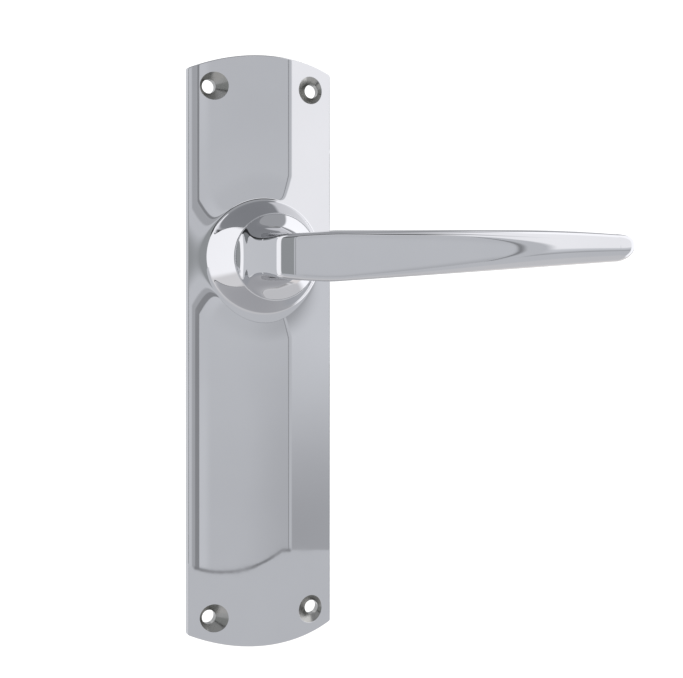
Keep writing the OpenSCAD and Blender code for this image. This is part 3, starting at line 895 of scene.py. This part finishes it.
class Sky:
    """The studio round the object, as a colour for each direction. Directions are in degrees."""

    def __init__(self):
        world = bpy.data.worlds.new("studio")
        world.use_nodes = True
        bpy.context.scene.world = world
        self.tree = world.node_tree
        self.tree.nodes.clear()
        place = self.tree.nodes.new("ShaderNodeTexCoord")
        split = self.tree.nodes.new("ShaderNodeSeparateXYZ")
        self.tree.links.new(place.outputs["Generated"], split.inputs["Vector"])
        front = self.math("MULTIPLY", split.outputs["Y"], -1.0)
        turn = self.math("ARCTAN2", split.outputs["X"], front)
        self.across = self.math("MULTIPLY", turn, 180 / math.pi)
        rise = self.math("ARCSINE", split.outputs["Z"])
        self.up = self.math("MULTIPLY", rise, 180 / math.pi)
        self.away = self.math("ABSOLUTE", self.across)
        self.colour = None

    def math(self, kind, a, b=None):
        node = self.tree.nodes.new("ShaderNodeMath")
        node.operation = kind
        for socket, value in zip(node.inputs, (a, b)):
            if hasattr(value, "is_output"):
                self.tree.links.new(value, socket)
            elif value is not None:
                socket.default_value = value
        return node.outputs[0]

    def edge(self, value, start, stop):
        node = self.tree.nodes.new("ShaderNodeMapRange")
        node.interpolation_type = "SMOOTHSTEP"
        node.inputs["From Min"].default_value = start
        node.inputs["From Max"].default_value = stop
        self.tree.links.new(value, node.inputs["Value"])
        return node.outputs["Result"]

    def band(self, value, low, high, soft):
        rising = self.edge(value, low - soft, low + soft)
        falling = self.edge(value, high + soft, high - soft)
        return self.math("MULTIPLY", rising, falling)

    def level(self, centre, curve, low, high):
        """The elevation, bent so that a level line sags like a parabola between two directions."""
        side = self.math("MAXIMUM", self.math("MINIMUM", self.across, high), low)
        side = self.math("SUBTRACT", side, centre)
        sag = self.math("MULTIPLY", self.math("MULTIPLY", side, side), curve)
        return self.math("SUBTRACT", self.up, sag)

    def paint(self, colour, *masks):
        """Lays a colour over what is there, where all the masks are 1."""
        if self.colour is None:
            node = self.tree.nodes.new("ShaderNodeRGB")
            node.outputs[0].default_value = (*colour, 1)
            self.colour = node.outputs[0]
            return
        where = masks[0]
        for mask in masks[1:]:
            where = self.math("MULTIPLY", where, mask)
        node = self.tree.nodes.new("ShaderNodeMix")
        node.data_type = "RGBA"
        self.tree.links.new(where, node.inputs["Factor"])
        self.tree.links.new(self.colour, node.inputs["A"])
        node.inputs["B"].default_value = (*colour, 1)
        self.colour = node.outputs["Result"]

    def finish(self, plain):
        """Mirror rays see the studio, and all other rays see a plain pale room."""
        room = self.tree.nodes.new("ShaderNodeBackground")
        room.inputs["Color"].default_value = (plain, plain, plain, 1)
        mirrored = self.tree.nodes.new("ShaderNodeBackground")
        self.tree.links.new(self.colour, mirrored.inputs["Color"])
        path = self.tree.nodes.new("ShaderNodeLightPath")
        mix = self.tree.nodes.new("ShaderNodeMixShader")
        out = self.tree.nodes.new("ShaderNodeOutputWorld")
        self.tree.links.new(path.outputs["Is Glossy Ray"], mix.inputs["Fac"])
        self.tree.links.new(room.outputs[0], mix.inputs[1])
        self.tree.links.new(mirrored.outputs[0], mix.inputs[2])
        self.tree.links.new(mix.outputs[0], out.inputs["Surface"])


def grey(level, warm=0.0, green=0.0):
    """A slightly cool grey, which warm turns towards yellow and green towards green."""
    return (level * (0.985 + warm), level * (1 + green), level * (1.045 - warm))


def make_studio():
    """The room that the metal mirrors: across is 0 straight in front of the handle and grows to the
    right, and up is the elevation."""
    sky = Sky()
    across, up, away = sky.across, sky.up, sky.away
    sky.paint(grey(1.5, 0.02))

    # the windows on the right fade towards the floor
    window = sky.band(across, 30, 78, 2)
    sky.paint(grey(1.28, 0.02), window)
    sky.paint(grey(0.88), window, sky.edge(up, 1, -2))
    sky.paint(grey(0.54), window, sky.edge(up, -2.5, -11))

    # the grey wall behind and to the left, and the room behind the plate, seen only at the very edges
    sky.paint(grey(0.80), sky.band(across, -185, -121, 3), sky.band(up, -24, 24, 4))
    sky.paint(grey(0.55), sky.band(across, 145, 190, 2), sky.band(up, -4, 45, 3))
    sky.paint(grey(0.5), sky.band(across, 118, 185, 3), sky.band(up, -44, -1, 2))

    # the dim room to the left of the camera, lighter in a strip beside the card
    dim = sky.edge(up, 34, 26)
    sky.paint(grey(0.43, 0.0, 0.02), sky.band(across, -105, -16, 4), dim)
    sky.paint(grey(0.78), sky.band(across, -30, -16, 2), dim)
    sky.paint(grey(0.55), sky.band(across, -25.2, -16, 0.5), dim)

    # the ceiling, dim at the back, overhead and in front, and a bright strip on the left that reaches
    # down to the floor
    sky.paint(grey(0.42), sky.edge(away, 120, 128), sky.edge(up, 27, 32))
    sky.paint(grey(1.4, 0.02), sky.band(across, -136, -102, 4), sky.edge(up, 54, 48))
    sky.paint(grey(0.5), sky.edge(up, 56, 60))
    sky.paint(grey(0.5), sky.band(across, -95, 43, 4), sky.edge(up, 30, 36))

    # a near-black gap between the ceiling and the card
    sky.paint(grey(0.05), sky.band(across, -100, 34, 3), sky.band(up, 25, 34, 2))

    # the big grey card that the front faces mirror, with a dark rim inside a lighter one
    card = sky.math("MULTIPLY", sky.band(across, -20.8, 34.0, 0.3), sky.band(up, -60, 21.0, 0.3))
    lower = sky.edge(up, 1, -3)
    sky.paint(grey(0.74), sky.band(across, -22, 36.5, 0.5), sky.band(up, -60, 22.4, 0.5))
    sky.paint(grey(0.34), sky.band(across, -22, 34.6, 0.3), sky.band(up, -60, 21.6, 0.3))
    sky.paint(grey(0.82), card)
    sky.paint(grey(0.73), card, sky.edge(across, -18.5, -13))
    sky.paint(grey(0.64), card, sky.edge(across, 2, 34), lower)
    sky.paint(grey(0.77), card, sky.band(up, -5, 5, 4))
    sky.paint(grey(0.36), sky.band(across, -23.3, -21.2, 0.3), lower)

    # the table, with a dark far edge
    table = sky.level(-6, 0.00064, -30, 30)
    sky.paint(grey(0.74), sky.band(across, -110, 80, 8), sky.edge(table, -12.40, -12.46))
    sky.paint(grey(0.30), sky.band(across, -24, 36, 1), sky.band(table, -12.50, -12.38, 0.03))

    # the floor, darker at the back, with a pale strip on the left and a warm one on the right
    sky.paint(grey(0.8, 0.02), sky.edge(away, 128, 112), sky.edge(up, -30, -40))
    sky.paint(grey(0.95, 0.03), sky.band(across, -150, -100, 5), sky.edge(up, -20, -28))
    sky.paint(grey(0.5, 0.03), sky.edge(away, 112, 128), sky.edge(up, -40, -50))
    sky.paint(grey(1.0, 0.06), sky.band(across, 110, 148, 3), sky.band(up, -40, -19, 3))
    sky.finish(1.2)


FLOOR_SIZE = 6
FLOOR_DROP = 0.12


def make_floor():
    bpy.ops.mesh.primitive_plane_add(size=FLOOR_SIZE, location=(0, 0, PLATE_BOTTOM - FLOOR_DROP))
    floor = bpy.context.object
    floor.name = "floor"
    nodes = Nodes("pale_floor")
    nodes.shader.inputs["Base Color"].default_value = (0.9, 0.9, 0.9, 1)
    nodes.shader.inputs["Roughness"].default_value = 0.9
    floor.data.materials.append(nodes.material)
    floor.visible_glossy = False


def make_light(name, at, aim, size, power):
    light = bpy.data.objects.new(name, bpy.data.lights.new(name, "AREA"))
    bpy.context.scene.collection.objects.link(light)
    light.data.energy = power
    light.data.size = size
    light.location = at
    light.rotation_euler = (Vector(aim) - Vector(at)).to_track_quat("-Z", "Y").to_euler()
    light.visible_glossy = False


# ---------------------------------------------------------------- the handle

make_camera()
bpy.context.scene.view_settings.view_transform = "Standard"
make_studio()
make_floor()
make_light("top_light", (-0.3, -0.6, 0.9), (0, 0, 0), 0.8, 4)

chrome = polished_chrome()
cast = cast_chrome()
plate = backplate_mesh([chrome, cast, satin_chrome_and_painted_shade()])
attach(plate, "plate")
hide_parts("backplate")

lever = lever_mesh([chrome, cast])
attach(lever, "lever")
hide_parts("lever")

zinc, sprung, drawn, plastic = zinc_steel(), spring_steel(), drawn_steel(), nylon()
for name in ("cam_plate", "thrust_washer", "backing_washer", "rear_cover"):
    set_material(name, zinc)
for name in ("return_spring", "wave_washer", "circlip", "rest_stop_pin", "travel_stop_pin"):
    set_material(name, sprung)
for name in ("front_bush", "rear_bush"):
    set_material(name, plastic)
for number in range(1, 5):
    set_material(f"cover_screw_{number}", zinc)
set_material("spindle", drawn)
